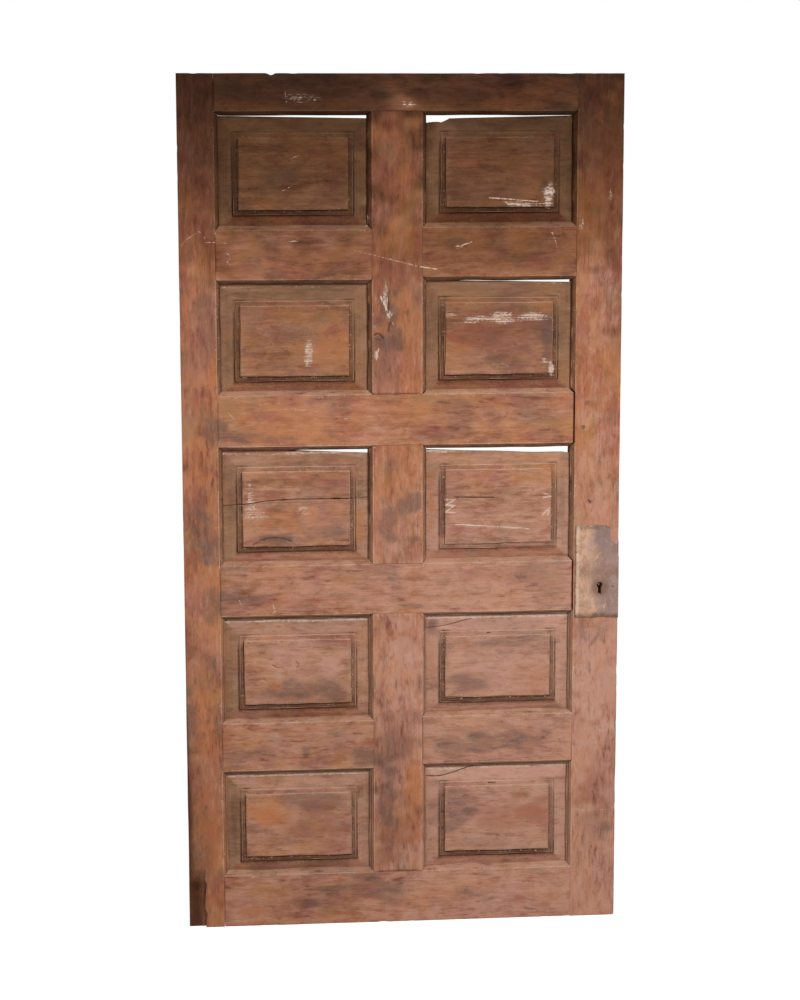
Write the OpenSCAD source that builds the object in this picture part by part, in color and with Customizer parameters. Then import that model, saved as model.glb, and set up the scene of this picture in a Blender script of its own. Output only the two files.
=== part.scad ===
// Antique ten-panel door leaf. Stiles, rails and muntins are tenoned together, with chamfers
// mitred round each opening. Ten raised panels have shrunk and dropped in their grooves, and
// a mortise lock sits in the lock stile behind a nailed sheet-iron plate.
// Millimetres. X runs across the leaf, the front faces -Y and Z is up from the bottom edge.

/* [Leaf] */
// Width of the leaf
leaf_w = 1040; // [1000:1:1120]
// Height of the leaf
leaf_h = 2040; // [2000:1:2140]
// Thickness of the stiles, rails and muntins
leaf_t = 45; // [42:0.5:60]

/* [Stiles and muntins] */
// Face width of the hinge stile
left_stile_w = 85; // [78:1:120]
// Face width of the lock stile
right_stile_w = 109; // [104:1:140]
// Face width of the muntins
muntin_w = 118; // [110:1:140]

/* [Rails] */
// Face height of the top rail
top_rail_h = 86; // [75:1:110]
// Face height of the two short upper rails
upper_rail_h = 116; // [100:1:140]
// Shift of the left upper rail from even rows
upper_left_shift = -2; // [-20:1:20]
// Shift of the right upper rail from even rows
upper_right_shift = 3; // [-20:1:20]
// Face height of the middle rail
middle_rail_h = 121; // [110:1:140]
// Shift of the middle rail from even rows
middle_shift = -2; // [-20:1:20]
// Face height of the lock rail
lock_rail_h = 121; // [110:1:140]
// Shift of the lock rail from even rows
lock_shift = -17; // [-25:1:20]
// Face height of the two short lower rails
lower_rail_h = 118; // [100:1:140]
// Shift of the left lower rail from even rows
lower_left_shift = -9; // [-20:1:20]
// Shift of the right lower rail from even rows
lower_right_shift = -2; // [-20:1:20]
// Face height of the bottom rail
bottom_rail_h = 128; // [110:1:150]

/* [Joinery] */
// Width of the chamfer round each opening, seen from the front
chamfer_w = 10; // [6:0.5:12]
// Depth of the chamfer from the front face
chamfer_d = 11; // [6:0.5:14]
// Setback of the panel groove from the front face
groove_setback = 18; // [16:0.5:20]
// Width of the panel groove
groove_w = 12.5; // [10:0.5:14]
// Depth of the panel groove
groove_d = 12; // [10:0.5:14]
// Thickness of the tenons
tenon_t = 12; // [9:0.5:14]
// Setback of the tenons from the edges of their rail or muntin
tenon_inset = 14; // [10:1:18]
// Length of the rail tenons in the stiles
rail_tenon_l = 55; // [40:1:65]
// Length of the tenons between rails and muntins
short_tenon_l = 36; // [25:1:42]
// Wood left between the lock rail's stub tenon and the lock
lock_web = 4.5; // [3:0.5:8]
// Gap round a tenon in its mortise
joint_clear = 0.2; // [0.1:0.05:0.5]
// Opening of the loosened shoulders on the lock stile
open_shoulder = 4; // [0:0.5:6]
// Diameter of the tenon pegs
peg_d = 9; // [6:0.5:10]
// Length of the tenon pegs from the front face
peg_l = 36; // [34:1:40]
// Distance of the upper peg from the lock stile's shoulder
upper_peg_x = 29; // [20:1:35]
// Distance of the lower peg from the lock stile's shoulder
lower_peg_x = 20; // [15:1:35]
// Distance of the upper peg below the middle rail's top
upper_peg_drop = 26; // [22:1:35]
// Height of the lower peg above the middle rail's bottom
lower_peg_rise = 37; // [25:1:45]
// Gap round a peg or nail in its hole
peg_clear = 0.1; // [0.05:0.05:0.3]

/* [Panels] */
// Setback of the raised fields from the front face
field_setback = 3; // [1:0.5:6]
// Drop from the field to the ledge round it
field_step = 4.5; // [1:0.5:6]
// Width of the ledge round the field
ledge_w = 11; // [6:0.5:15]
// Drop from the ledge to the bevel
ledge_step = 3.5; // [0.5:0.5:4]
// Width of the bevel at a panel's sides
side_bevel_w = 42; // [30:1:55]
// Width of the bevel at a panel's foot, with its tongue
foot_bevel_w = 36; // [28:1:50]
// Reach of the bevel below the opening's upper edge at a panel's head
head_bevel_w = 40; // [34:1:50]
// Reach of a panel's sides into the grooves
side_tongue = 8; // [4:0.5:9.5]
// Gap between a panel's tongue and the groove's cheeks
panel_clear = 0.2; // [0.1:0.05:0.5]
// Gap over the top row: left panel's left and right ends, then the right panel's
row_1_gaps = [0.5, 6.5, 8, 0.5]; // [-6:0.5:18]
// Gap over the second row
row_2_gaps = [-3, -2, -1.5, 6]; // [-6:0.5:18]
// Gap over the third row
row_3_gaps = [-6, 11, 4, 17]; // [-6:0.5:18]
// Gap over the fourth row
row_4_gaps = [2, 1.5, 2, 1.5]; // [-6:0.5:18]
// Gap over the bottom row
row_5_gaps = [2.5, 2, 2.5, 2]; // [-6:0.5:18]

/* [Lost hinge corner] */
// Width of the cut at the foot of the hinge stile
corner_w = 40; // [20:1:60]
// Height of the cut at its full depth
corner_h = 100; // [60:1:140]
// Height of the slope above the cut
corner_slope_h = 45; // [10:1:80]
// Depth of the cut
corner_d = 12; // [4:0.5:16]

/* [Lock] */
// Height of the keyhole's round above the lock rail's bottom
key_rise = 60; // [48:1:75]
// Distance of the keyhole from the lock edge
backset = 45; // [38:1:50]
// Diameter of the keyhole's round
key_round_d = 14; // [10:0.5:16]
// Width of the keyhole's slot
key_slot_w = 8; // [6:0.5:10]
// Reach of the keyhole's slot below the round's centre
key_slot_l = 22; // [18:1:28]
// Diameter of the pin that guides the key
key_pin_d = 4; // [3:0.5:5]
// Reach of the pin out of the lock case
key_pin_reach = 4; // [1:0.5:8]
// Depth of the lock case behind its forend
case_w = 72; // [68:1:76]
// Height of the lock case
case_h = 84; // [80:1:100]
// Distance of the keyhole's round above the case's bottom
case_below_key = 44; // [32:1:46]
// Thickness of the lock case with its cover
case_t = 16; // [14:0.5:18]
// Wall of the lock case
case_wall = 1.5; // [1:0.1:2.5]
// Thickness of the cover
cover_t = 1.5; // [1:0.1:2.5]
// Height of the forend
forend_h = 124; // [116:1:140]
// Width of the forend
forend_w = 20; // [18:0.5:22]
// Thickness of the forend
forend_t = 2.5; // [1.5:0.1:4]
// Gap round the lock case in its mortise
lock_clear = 0.2; // [0.1:0.05:0.5]
// Length of the bolt
bolt_l = 62; // [58:1:66]
// Height of the bolt
bolt_h = 20; // [16:0.5:22]
// Thickness of the bolt
bolt_t = 8; // [6:0.5:9]
// Height of the bolt's lower edge above the keyhole's round
bolt_rise = 11; // [9.5:0.5:13]
// Throw of the bolt
bolt_throw = 18; // [10:1:20]
// Gap round the bolt
bolt_clear = 0.3; // [0.2:0.05:0.6]
// Diameter of the stump that guides the bolt
stump_d = 5; // [4:0.5:6]
// Distance of the stump from the lock edge
stump_setback = 34; // [32:1:38]
// Thickness of the bolt's spring
spring_t = 0.8; // [0.5:0.1:1.2]

/* [Lock plate] */
// Thickness of the iron sheet
plate_t = 1; // [0.6:0.1:2]
// Reach of the plate below the lock rail
plate_drop = 21; // [15:1:34]
// Height of the plate
plate_h = 228; // [200:1:240]
// Distance of the plate from the lock stile's shoulder
plate_margin = 3; // [1:0.5:8]
// Radius of the plate's upper outer corner
plate_corner_r = 46; // [20:1:60]
// Depth of the tears along the plate's foot
plate_tear = 3; // [1:0.5:4]
// Reach of the plate round the lock edge
return_w = 10; // [6:0.5:11]
// Height of the stretch that goes round the lock edge
return_h = 150; // [100:1:170]
// Diameter of the nail heads
nail_head_d = 6; // [4:0.5:8]
// Height of the nail heads
nail_head_h = 1; // [0.6:0.1:2]
// Diameter of the nails
nail_d = 2; // [1.5:0.1:3]
// Length of the nails in the wood
nail_l = 12; // [8:0.5:13]

/* [Hidden] */
$fn = 48;
// Overshoot of cutting bodies, and of the chamfer cut as a share of the chamfer
over = 1;
flare_lip = 0.1;
rows = [0 : 4];
sides = ["left", "right"];
panel_nodes = [for (row = rows) for (side = sides) str("panel_", row + 1, "_", side)];

stile_brown = "#7d5138";
rail_brown = "#8a5a3f";
panel_brown = "#75523b";
peg_brown = "#5a3c2a";
sheet_iron = "#93806a";
old_iron = "#5d564e";

// Spans: from a place, to both sides of a place, and grown or shrunk at both ends
function from(place, low, high) = [place + low, place + high];
function around(place, half) = [place - half, place + half];
function grown(span, by) = [span[0] - by, span[1] + by];

// Places across the leaf and through its thickness
front_y = -leaf_t / 2;
edge_x = leaf_w / 2;
left_x = left_stile_w - edge_x;
right_x = edge_x - right_stile_w;
opening_w = (right_x - left_x - muntin_w) / 2;
muntin_x = [left_x + opening_w, left_x + opening_w + muntin_w];
groove_y = from(front_y + groove_setback, 0, groove_w);
tenon_y = around((groove_y[0] + groove_y[1]) / 2, tenon_t / 2);
tongue_y = grown(groove_y, -panel_clear);
field_y = front_y + field_setback;

// Heights of the rails: even rows between them, then each rail's shift, for a column where a rail is split
full_rails_h = top_rail_h + middle_rail_h + lock_rail_h + bottom_rail_h;
row_h = (leaf_h - full_rails_h - upper_rail_h - lower_rail_h) / 5;
lower_z = bottom_rail_h + row_h;
lock_z = lower_z + lower_rail_h + row_h;
middle_z = lock_z + lock_rail_h + row_h;
upper_z = middle_z + middle_rail_h + row_h;
upper_shift = [upper_left_shift, upper_right_shift];
lower_shift = [lower_left_shift, lower_right_shift];
top_span = [leaf_h - top_rail_h, leaf_h];
middle_span = from(middle_z + middle_shift, 0, middle_rail_h);
lock_span = from(lock_z + lock_shift, 0, lock_rail_h);
bottom_span = [0, bottom_rail_h];
function upper_span(col) = from(upper_z + upper_shift[col], 0, upper_rail_h);
function lower_span(col) = from(lower_z + lower_shift[col], 0, lower_rail_h);
function column_rails(col) = [
    top_span, upper_span(col), middle_span, lock_span, lower_span(col), bottom_span
];

// Openings between the faces, and between the inner edges of the chamfers
function face_x(col) = col == 0 ? [left_x, muntin_x[0]] : [muntin_x[1], right_x];
function face_z(row, col) = [column_rails(col)[row + 1][1], column_rails(col)[row][0]];
function sight_x(col) = grown(face_x(col), -chamfer_w);
function sight_z(row, col) = grown(face_z(row, col), -chamfer_w);
row_gaps = [row_1_gaps, row_2_gaps, row_3_gaps, row_4_gaps, row_5_gaps];
function top_gaps(row, col) = [row_gaps[row][2 * col], row_gaps[row][2 * col + 1]];

// Broken upper edge of the first right panel, as distance from the left and below the opening's top
broken_edge = [[-2, 18], [16, 14], [26, 13.5], [36, 15], [54, 8]];
broken_panel = [0, 1];
// Splits in the panels: row, column, width, and points from the opening's left and below its top
splits = [
    [2, 0, 1.6, [[-6, 132], [60, 127], [100, 120], [170, 117], [349, 116]]],
    [2, 1, 1.6, [[68, 117], [162, 119]]],
    [3, 1, 1.6, [[-2, 31], [48, 24], [110, 10]]],
    [4, 1, 2.4, [[-2, 26], [36, 24], [112, 3], [166, -4]]]
];
// Wood that a split leaves at the panel's back
split_web = 3;
// Flat of a panel's tongue that shows before its bevel starts
tongue_land = 0.5;

// Lock places
key_z = lock_span[0] + key_rise;
lock_x = edge_x - forend_t;
lock_tenon_l = right_stile_w - forend_t - case_w - lock_web;
key_x = edge_x - backset;
case_x = [lock_x - case_w, lock_x];
case_y = [-case_t / 2, case_t / 2 - cover_t];
case_z = from(key_z - case_below_key, 0, case_h);
case_mid_z = (case_z[0] + case_z[1]) / 2;
forend_z = around(case_mid_z, forend_h / 2);
bolt_x = [edge_x - bolt_l, edge_x];
bolt_y = [-bolt_t / 2, bolt_t / 2];
bolt_z = from(key_z + bolt_rise, 0, bolt_h);
stump_x = edge_x - stump_setback;
stump_z = (bolt_z[0] + bolt_z[1]) / 2;
talon_w = 12;
talon_d = 5;
screw_d = 3.6;
screw_head_d = 7;
screw_head_h = 1.7;
screw_l = 18;
screw_end = 9;
screw_z = grown(forend_z, -screw_end);
cover_screw_d = 2;
cover_screw_head_d = 4;
cover_screw_l = 6;
spring_foot = 6;
spring_end = 2.5;
spring_span = bolt_l - bolt_throw - forend_t - spring_foot - spring_end;
spring_w = 5;
spring_rise = case_z[1] - case_wall - bolt_clear - bolt_z[1];
plate_x = [right_x + plate_margin, edge_x];
plate_z = lock_span[0] - plate_drop;
plate_span = [plate_z, plate_z + plate_h];
// Nails as distance from the lock edge and above the plate's foot
nails = [[103, 162], [14.5, 77], [56, 9], [34, 9], [24, 206]];
pegs = [[upper_peg_x, middle_span[1] - upper_peg_drop], [lower_peg_x, middle_span[0] + lower_peg_rise]];

function swapped(points) = [for (p = points) [p[1], p[0]]];
function reversed(points) = [for (i = [len(points) - 1 : -1 : 0]) points[i]];

// Edge of an upright from top to bottom: chamfer strips stand out by dir beside each opening
function edge_down(x, dir, rows, col) = [
    for (row = rows) let (z = face_z(row, col)) each [
        [x, z[1]],
        [x + dir * chamfer_w, z[1] - chamfer_w],
        [x + dir * chamfer_w, z[0] + chamfer_w],
        [x, z[0]]
    ]
];

// Edge of a rail from left to right, with its chamfer strips mitred to the uprights
function edge_across(z, dir, x, cols) = [
    for (col = cols) let (a = max(x[0], face_x(col)[0]), b = min(x[1], face_x(col)[1])) each [
        [a, z],
        [a + chamfer_w, z + dir * chamfer_w],
        [b - chamfer_w, z + dir * chamfer_w],
        [b, z]
    ]
];
function rail_outline(x, z, below, above) = concat(
    len(below) == 0 ? [[x[0], z[0]], [x[1], z[0]]] : edge_across(z[0], -1, x, below),
    len(above) == 0 ? [[x[1], z[1]], [x[0], z[1]]] : reversed(edge_across(z[1], 1, x, above))
);
function muntin_outline(rows) = concat(
    edge_down(muntin_x[0], -1, rows, 0),
    reversed(edge_down(muntin_x[1], 1, rows, 1))
);

// Chamfer flare of an opening along one direction, from beyond the front face to the chamfer's depth
function flare(face) = let (lip_w = flare_lip * chamfer_w, lip_y = front_y - flare_lip * chamfer_d) [
    [face[0] - lip_w, lip_y],
    [face[1] + lip_w, lip_y],
    [face[1] - chamfer_w, front_y + chamfer_d],
    [face[0] + chamfer_w, front_y + chamfer_d]
];

// Half section of a raised panel from its edge: flat tongue, bevel, ledge and field, as place and depth
function half_section(tongue, bevel) = let (ledge_y = field_y + field_step) [
    [0, tongue_y[1]],
    [0, tongue_y[0]],
    [tongue + tongue_land, tongue_y[0]],
    [bevel, ledge_y + ledge_step],
    [bevel, ledge_y],
    [bevel + ledge_w, ledge_y],
    [bevel + ledge_w, field_y]
];

// Section of a raised panel between its edges, with the tongue and the bevel at each of them
function raised_section(span, tongues, bevels) = concat(
    [for (p = half_section(tongues[0], bevels[0])) [span[0] + p[0], p[1]]],
    [for (p = reversed(half_section(tongues[1], bevels[1]))) [span[1] - p[0], p[1]]]
);

module box(x, y, z) {
    translate([x[0], y[0], z[0]]) cube([x[1] - x[0], y[1] - y[0], z[1] - z[0]]);
}

// Outline in the plane of the leaf, extruded through a range of depth
module slab(outline, y) {
    translate([0, y[1], 0]) rotate([90, 0, 0]) linear_extrude(y[1] - y[0]) polygon(outline);
}

// Section in depth and height, extruded along X
module along_x(section, x) {
    translate([x[0], 0, 0]) rotate([90, 0, 90]) linear_extrude(x[1] - x[0]) polygon(section);
}

module rod_y(x, z, y, d) {
    translate([x, y[0], z]) rotate([-90, 0, 0]) cylinder(d = d, h = y[1] - y[0]);
}

module tenon(x, z, grow = 0) {
    box(grown(x, grow), grown(tenon_y, grow), grown(z, grow));
}
function inset_span(span) = grown(span, -tenon_inset);

// Space that an opening takes from the members round it: sight hole, chamfer and panel groove
module opening(row, col) {
    sx = sight_x(col);
    sz = sight_z(row, col);
    fx = face_x(col);
    fz = face_z(row, col);
    box(sx, grown([front_y, -front_y], over), sz);
    box(grown(sx, groove_d), groove_y, grown(sz, groove_d));
    intersection() {
        translate([0, 0, fz[0] - chamfer_w]) linear_extrude(fz[1] - fz[0] + 2 * chamfer_w) polygon(flare(fx));
        along_x(swapped(flare(fz)), grown(fx, chamfer_w));
    }
}
module openings(rows, cols) {
    for (row = rows) for (col = cols) opening(row, col);
}

// Tenon of a rail at its left or right end, and of a muntin at its foot or head
module left_tenon(x, span, l, grow = 0) { tenon([x - l, x + over], inset_span(span), grow); }
module right_tenon(x, span, l, grow = 0) { tenon([x - over, x + l], inset_span(span), grow); }
module foot_tenon(z, grow = 0) { tenon(inset_span(muntin_x), [z - short_tenon_l, z + over], grow); }
module head_tenon(z, grow = 0) { tenon(inset_span(muntin_x), [z - over, z + short_tenon_l], grow); }

module keyhole(y, grow = 0) {
    rod_y(key_x, key_z, y, key_round_d + 2 * grow);
    box(
        around(key_x, key_slot_w / 2 + grow),
        y,
        [key_z - key_slot_l - grow, key_z]
    );
}

module screw_x(x, z, grow = 0) {
    translate([x, 0, z]) rotate([0, -90, 0]) {
        cylinder(d1 = screw_head_d + 2 * grow, d2 = screw_d + 2 * grow, h = screw_head_h);
        cylinder(d = screw_d + 2 * grow, h = screw_l + grow);
    }
}

module left_stile() {
    outline = concat(
        [[-edge_x, 0], [-edge_x, leaf_h], [left_x, leaf_h]],
        edge_down(left_x, 1, rows, 0),
        [[left_x, 0]]
    );
    corner = [
        [front_y - over, -over],
        [front_y + corner_d, -over],
        [front_y + corner_d, corner_h],
        [front_y, corner_h + corner_slope_h],
        [front_y - over, corner_h + corner_slope_h]
    ];
    color(stile_brown) difference() {
        slab(outline, [front_y, -front_y]);
        openings(rows, [0]);
        for (span = column_rails(0)) left_tenon(left_x, span, rail_tenon_l, joint_clear);
        along_x(corner, [-edge_x - over, corner_w - edge_x]);
    }
}

module right_stile() {
    outline = concat(
        [[edge_x, 0], [edge_x, leaf_h], [right_x, leaf_h]],
        edge_down(right_x, -1, rows, 1),
        [[right_x, 0]]
    );
    color(stile_brown) difference() {
        slab(outline, [front_y, -front_y]);
        openings(rows, [1]);
        for (span = column_rails(1)) {
            right_tenon(right_x, span, span == lock_span ? lock_tenon_l : rail_tenon_l, joint_clear);
        }
        for (peg = pegs) rod_y(right_x + peg[0], peg[1], from(front_y, -over, peg_l), peg_d + 2 * peg_clear);
        for (nail = nails) {
            rod_y(edge_x - nail[0], plate_z + nail[1], from(front_y, -over, nail_l), nail_d + 2 * peg_clear);
        }
        box(grown(case_x, lock_clear), around(0, case_t / 2 + lock_clear), grown(case_z, lock_clear));
        box([lock_x, edge_x + over], around(0, forend_w / 2 + lock_clear), grown(forend_z, lock_clear));
        for (z = screw_z) screw_x(edge_x, z, peg_clear);
        keyhole([front_y - over, 0]);
    }
}

module top_rail() {
    color(rail_brown) difference() {
        union() {
            slab(rail_outline([left_x, right_x], top_span, [0, 1], []), [front_y, -front_y]);
            left_tenon(left_x, top_span, rail_tenon_l);
            right_tenon(right_x, top_span, rail_tenon_l);
        }
        openings([0], [0, 1]);
        head_tenon(top_span[0], joint_clear);
    }
}

// Short rail between a stile and a muntin, in column 0 or 1, with openings of two rows at its edges
module short_rail(span, col, row_above) {
    x = face_x(col);
    color(rail_brown) difference() {
        union() {
            slab(rail_outline(x, span, [col], [col]), [front_y, -front_y]);
            left_tenon(x[0], span, col == 0 ? rail_tenon_l : short_tenon_l);
            right_tenon(x[1], span, col == 1 ? rail_tenon_l : short_tenon_l);
        }
        openings([row_above, row_above + 1], [col]);
    }
}
module upper_rail_left() { short_rail(upper_span(0), 0, 0); }
module upper_rail_right() { short_rail(upper_span(1), 1, 0); }
module lower_rail_left() { short_rail(lower_span(0), 0, 3); }
module lower_rail_right() { short_rail(lower_span(1), 1, 3); }

// Full rail whose right shoulder has drawn away from the lock stile, tenon and all
module loosened_rail(span, row_above, right_tenon_l) {
    x = [left_x, right_x - open_shoulder];
    difference() {
        union() {
            slab(rail_outline(x, span, [0, 1], [0, 1]), [front_y, -front_y]);
            left_tenon(left_x, span, rail_tenon_l);
            right_tenon(x[1], span, right_tenon_l);
        }
        openings([row_above, row_above + 1], [0, 1]);
        foot_tenon(span[1], joint_clear);
        head_tenon(span[0], joint_clear);
    }
}
module middle_rail() {
    color(rail_brown) difference() {
        loosened_rail(middle_span, 1, rail_tenon_l);
        for (peg = pegs) rod_y(right_x + peg[0], peg[1], from(front_y, -over, peg_l), peg_d + 2 * peg_clear);
    }
}
module lock_rail() {
    color(rail_brown) loosened_rail(lock_span, 2, lock_tenon_l);
}

module bottom_rail() {
    color(rail_brown) difference() {
        union() {
            slab(rail_outline([left_x, right_x], bottom_span, [], [0, 1]), [front_y, -front_y]);
            left_tenon(left_x, bottom_span, rail_tenon_l);
            right_tenon(right_x, bottom_span, rail_tenon_l);
        }
        openings([4], [0, 1]);
        foot_tenon(bottom_span[1], joint_clear);
    }
}

// Upright between two full rails, beside the openings of the given rows
module muntin(rows) {
    color(stile_brown) difference() {
        union() {
            slab(muntin_outline(rows), [front_y, -front_y]);
            head_tenon(face_z(rows[0], 0)[1]);
            foot_tenon(face_z(rows[len(rows) - 1], 0)[0]);
        }
        openings(rows, [0, 1]);
        children();
    }
}
module upper_muntin() {
    muntin([0, 1]) {
        right_tenon(muntin_x[0], upper_span(0), short_tenon_l, joint_clear);
        left_tenon(muntin_x[1], upper_span(1), short_tenon_l, joint_clear);
    }
}
module middle_muntin() { muntin([2]); }
module lower_muntin() {
    muntin([3, 4]) {
        right_tenon(muntin_x[0], lower_span(0), short_tenon_l, joint_clear);
        left_tenon(muntin_x[1], lower_span(1), short_tenon_l, joint_clear);
    }
}

// Slot along the points of a split, from in front of the field to near the panel's back
module split_slot(corner, w, points) {
    path = [for (p = points) [corner[0] + p[0], corner[1] - p[1]]];
    slab(concat(
        [for (p = path) [p[0], p[1] + w / 2]],
        [for (p = reversed(path)) [p[0], p[1] - w / 2]]
    ), [field_y - over, tongue_y[1] - split_web]);
}

module panel(row, col) {
    gaps = top_gaps(row, col);
    x = grown(sight_x(col), side_tongue);
    sz = sight_z(row, col);
    gap = min(gaps);
    z = [sz[0] - groove_d, sz[1] - gap];
    corner = [sight_x(col)[0], sz[1]];
    across = raised_section(x, [side_tongue, side_tongue], [side_bevel_w, side_bevel_w]);
    upright = raised_section(z, [groove_d, max(0, -gap)], [foot_bevel_w, head_bevel_w - gap]);
    color(panel_brown) difference() {
        intersection() {
            translate([0, 0, z[0]]) linear_extrude(z[1] - z[0]) polygon(across);
            along_x(swapped(upright), x);
        }
        slab([
            [x[0] - over, sz[1] - gaps[0]],
            [x[1] + over, sz[1] - gaps[1]],
            [x[1] + over, z[1] + over],
            [x[0] - over, z[1] + over]
        ], [front_y, -front_y]);
        if ([row, col] == broken_panel) {
            slab(concat(
                [[x[0] - over, z[1] + over], [x[0] - over, corner[1] - broken_edge[0][1]]],
                [for (p = broken_edge) [corner[0] + p[0], corner[1] - p[1]]],
                [[corner[0] + broken_edge[len(broken_edge) - 1][0], z[1] + over]]
            ), [front_y, -front_y]);
        }
        for (s = splits) if ([s[0], s[1]] == [row, col]) split_slot(corner, s[2], s[3]);
    }
}

module tenon_pegs() {
    color(peg_brown) for (peg = pegs) rod_y(right_x + peg[0], peg[1], from(front_y, 0, peg_l), peg_d);
}

module lock_plate() {
    x = plate_x;
    z = plate_span;
    r = plate_corner_r;
    foot = [[x[0], z[0] + plate_tear], [x[0] + r, z[0]], [key_x, z[0] + plate_tear], [x[1], z[0]]];
    corner = [for (a = [0 : 7.5 : 90]) [x[1] - r + r * cos(a), z[1] - r + r * sin(a)]];
    fold = [
        [edge_x - plate_t, front_y - plate_t],
        [edge_x + plate_t, front_y - plate_t],
        [edge_x + plate_t, front_y + return_w],
        [edge_x, front_y + return_w],
        [edge_x, front_y],
        [edge_x - plate_t, front_y]
    ];
    color(sheet_iron) difference() {
        union() {
            slab(concat(foot, corner, [[x[0], z[1]]]), from(front_y, -plate_t, 0));
            translate([0, 0, z[0]]) linear_extrude(return_h) polygon(fold);
        }
        keyhole(from(front_y, -plate_t - over, over));
        for (nail = nails) {
            rod_y(
                edge_x - nail[0],
                plate_z + nail[1],
                from(front_y, -plate_t - over, over),
                nail_d + 2 * peg_clear
            );
        }
    }
}

module plate_nails() {
    color(old_iron) for (nail = nails) {
        x = edge_x - nail[0];
        z = plate_z + nail[1];
        rod_y(x, z, from(front_y, -plate_t - nail_head_h, -plate_t), nail_head_d);
        rod_y(x, z, from(front_y, -plate_t, nail_l), nail_d);
    }
}

// Folded case open towards the back, with its forend and the stump that guides the bolt
module lock_case() {
    hollow_y = [case_y[0] + case_wall, case_y[1]];
    color(old_iron) {
        difference() {
            union() {
                box(case_x, case_y, case_z);
                box([lock_x, edge_x], around(0, forend_w / 2), forend_z);
            }
            box(
                [case_x[0] + case_wall, lock_x],
                [hollow_y[0], hollow_y[1] + over],
                grown(case_z, -case_wall)
            );
            box(grown([lock_x, edge_x], over), grown(bolt_y, bolt_clear), grown(bolt_z, bolt_clear));
            keyhole(from(case_y[0], -over, case_wall + over));
            for (z = screw_z) screw_x(edge_x, z, peg_clear);
        }
        difference() {
            rod_y(stump_x, stump_z, [case_y[0] + case_wall / 2, case_y[1]], stump_d);
            rod_y(stump_x, stump_z, from(case_y[1], -cover_screw_l, over), cover_screw_d + 2 * peg_clear);
        }
    }
}

// Countersunk screw through the cover into the stump
module cover_screw(grow = 0) {
    y = case_t / 2;
    color(old_iron) {
        rod_y(stump_x, stump_z, [case_y[1] - cover_screw_l + peg_clear - grow, y], cover_screw_d + 2 * grow);
        translate([stump_x, case_y[1], stump_z])
            rotate([-90, 0, 0])
                cylinder(d1 = cover_screw_d + 2 * grow, d2 = cover_screw_head_d + 2 * grow, h = cover_t);
    }
}

module lock_cover() {
    color(old_iron) difference() {
        box(case_x, from(case_t / 2, -cover_t, 0), case_z);
        cover_screw(peg_clear);
    }
}

module forend_screws() {
    color(old_iron) for (z = screw_z) screw_x(edge_x, z);
}

module key_pin() {
    color(old_iron) rod_y(key_x, key_z, [case_y[0] - key_pin_reach, case_y[1]], key_pin_d);
}

// Bolt drawn back flush with the forend: slotted for the stump, notched for the key
module lock_bolt() {
    slot_x = from(stump_x, -bolt_throw, 0);
    slot_d = stump_d + 2 * bolt_clear;
    color(old_iron) difference() {
        box(bolt_x, bolt_y, bolt_z);
        for (x = slot_x) rod_y(x, stump_z, grown(bolt_y, over), slot_d);
        box(slot_x, grown(bolt_y, over), around(stump_z, slot_d / 2));
        box(around(key_x, talon_w / 2), grown(bolt_y, over), from(bolt_z[0], -over, talon_d));
    }
}

// Bowed strip on top of the bolt that bears on the case
module bolt_spring() {
    bow_r = (spring_span * spring_span / 4 + spring_rise * spring_rise) / (2 * spring_rise);
    x = bolt_x[0] + spring_foot + spring_span / 2;
    bow_z = bolt_z[1] + spring_rise - bow_r;
    y = around(0, spring_w / 2);
    color(old_iron) {
        intersection() {
            difference() {
                rod_y(x, bow_z, y, 2 * bow_r);
                rod_y(x, bow_z, grown(y, over), 2 * (bow_r - spring_t));
            }
            box(around(x, spring_span / 2), y, from(bolt_z[1], 0, spring_rise + over));
        }
        box(from(bolt_x[0], 0, 1.5 * spring_foot), y, from(bolt_z[1], 0, spring_t));
    }
}

left_stile();
right_stile();
top_rail();
upper_rail_left();
upper_rail_right();
middle_rail();
lock_rail();
lower_rail_left();
lower_rail_right();
bottom_rail();
upper_muntin();
middle_muntin();
lower_muntin();
for (row = rows) for (col = [0, 1]) {
    panel(row, col);
}
tenon_pegs();
lock_plate();
plate_nails();
lock_case();
lock_cover();
cover_screw();
forend_screws();
key_pin();
lock_bolt();
bolt_spring();
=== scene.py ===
"""Looks of an antique ten-panel door leaf, built around its CAD frame.

Every wooden piece is a worn copy of its CAD node: merged, its arrises eased, its faces cut into a
fine grid, then dented and chipped. Masks painted on that grid say where stain, plaster, bleaching
and grime lie, and where painted shade, shadows and highlights go, and the wood materials read them.
The lock plate is a buckled copy of its node. The pegs, the nails and the lock keep their CAD meshes.
"""
import math
from types import SimpleNamespace

import bmesh
import bpy
import numpy as np
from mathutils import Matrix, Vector


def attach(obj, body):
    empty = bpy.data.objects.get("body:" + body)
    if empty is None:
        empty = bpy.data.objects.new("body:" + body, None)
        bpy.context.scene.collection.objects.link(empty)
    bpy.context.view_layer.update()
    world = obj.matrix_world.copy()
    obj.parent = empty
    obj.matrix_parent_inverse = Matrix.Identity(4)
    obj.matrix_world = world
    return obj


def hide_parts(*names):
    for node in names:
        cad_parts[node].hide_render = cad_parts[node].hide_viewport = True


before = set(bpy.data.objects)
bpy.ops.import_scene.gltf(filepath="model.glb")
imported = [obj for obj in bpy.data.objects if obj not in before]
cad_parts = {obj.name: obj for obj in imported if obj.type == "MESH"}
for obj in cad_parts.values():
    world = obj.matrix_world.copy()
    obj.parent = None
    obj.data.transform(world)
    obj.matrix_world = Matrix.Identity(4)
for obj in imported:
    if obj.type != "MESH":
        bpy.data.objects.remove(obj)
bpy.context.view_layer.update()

MM = 0.001
# The leaf's width and height, and the Y of its front, in mm
LEAF_W, LEAF_H = 1040, 2040
FRONT_Y = -22.5
# Rectangles have their left, top, right and bottom side in mm from the leaf's left and top edges
OUTLINE = (0, 0, LEAF_W, LEAF_H)
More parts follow.
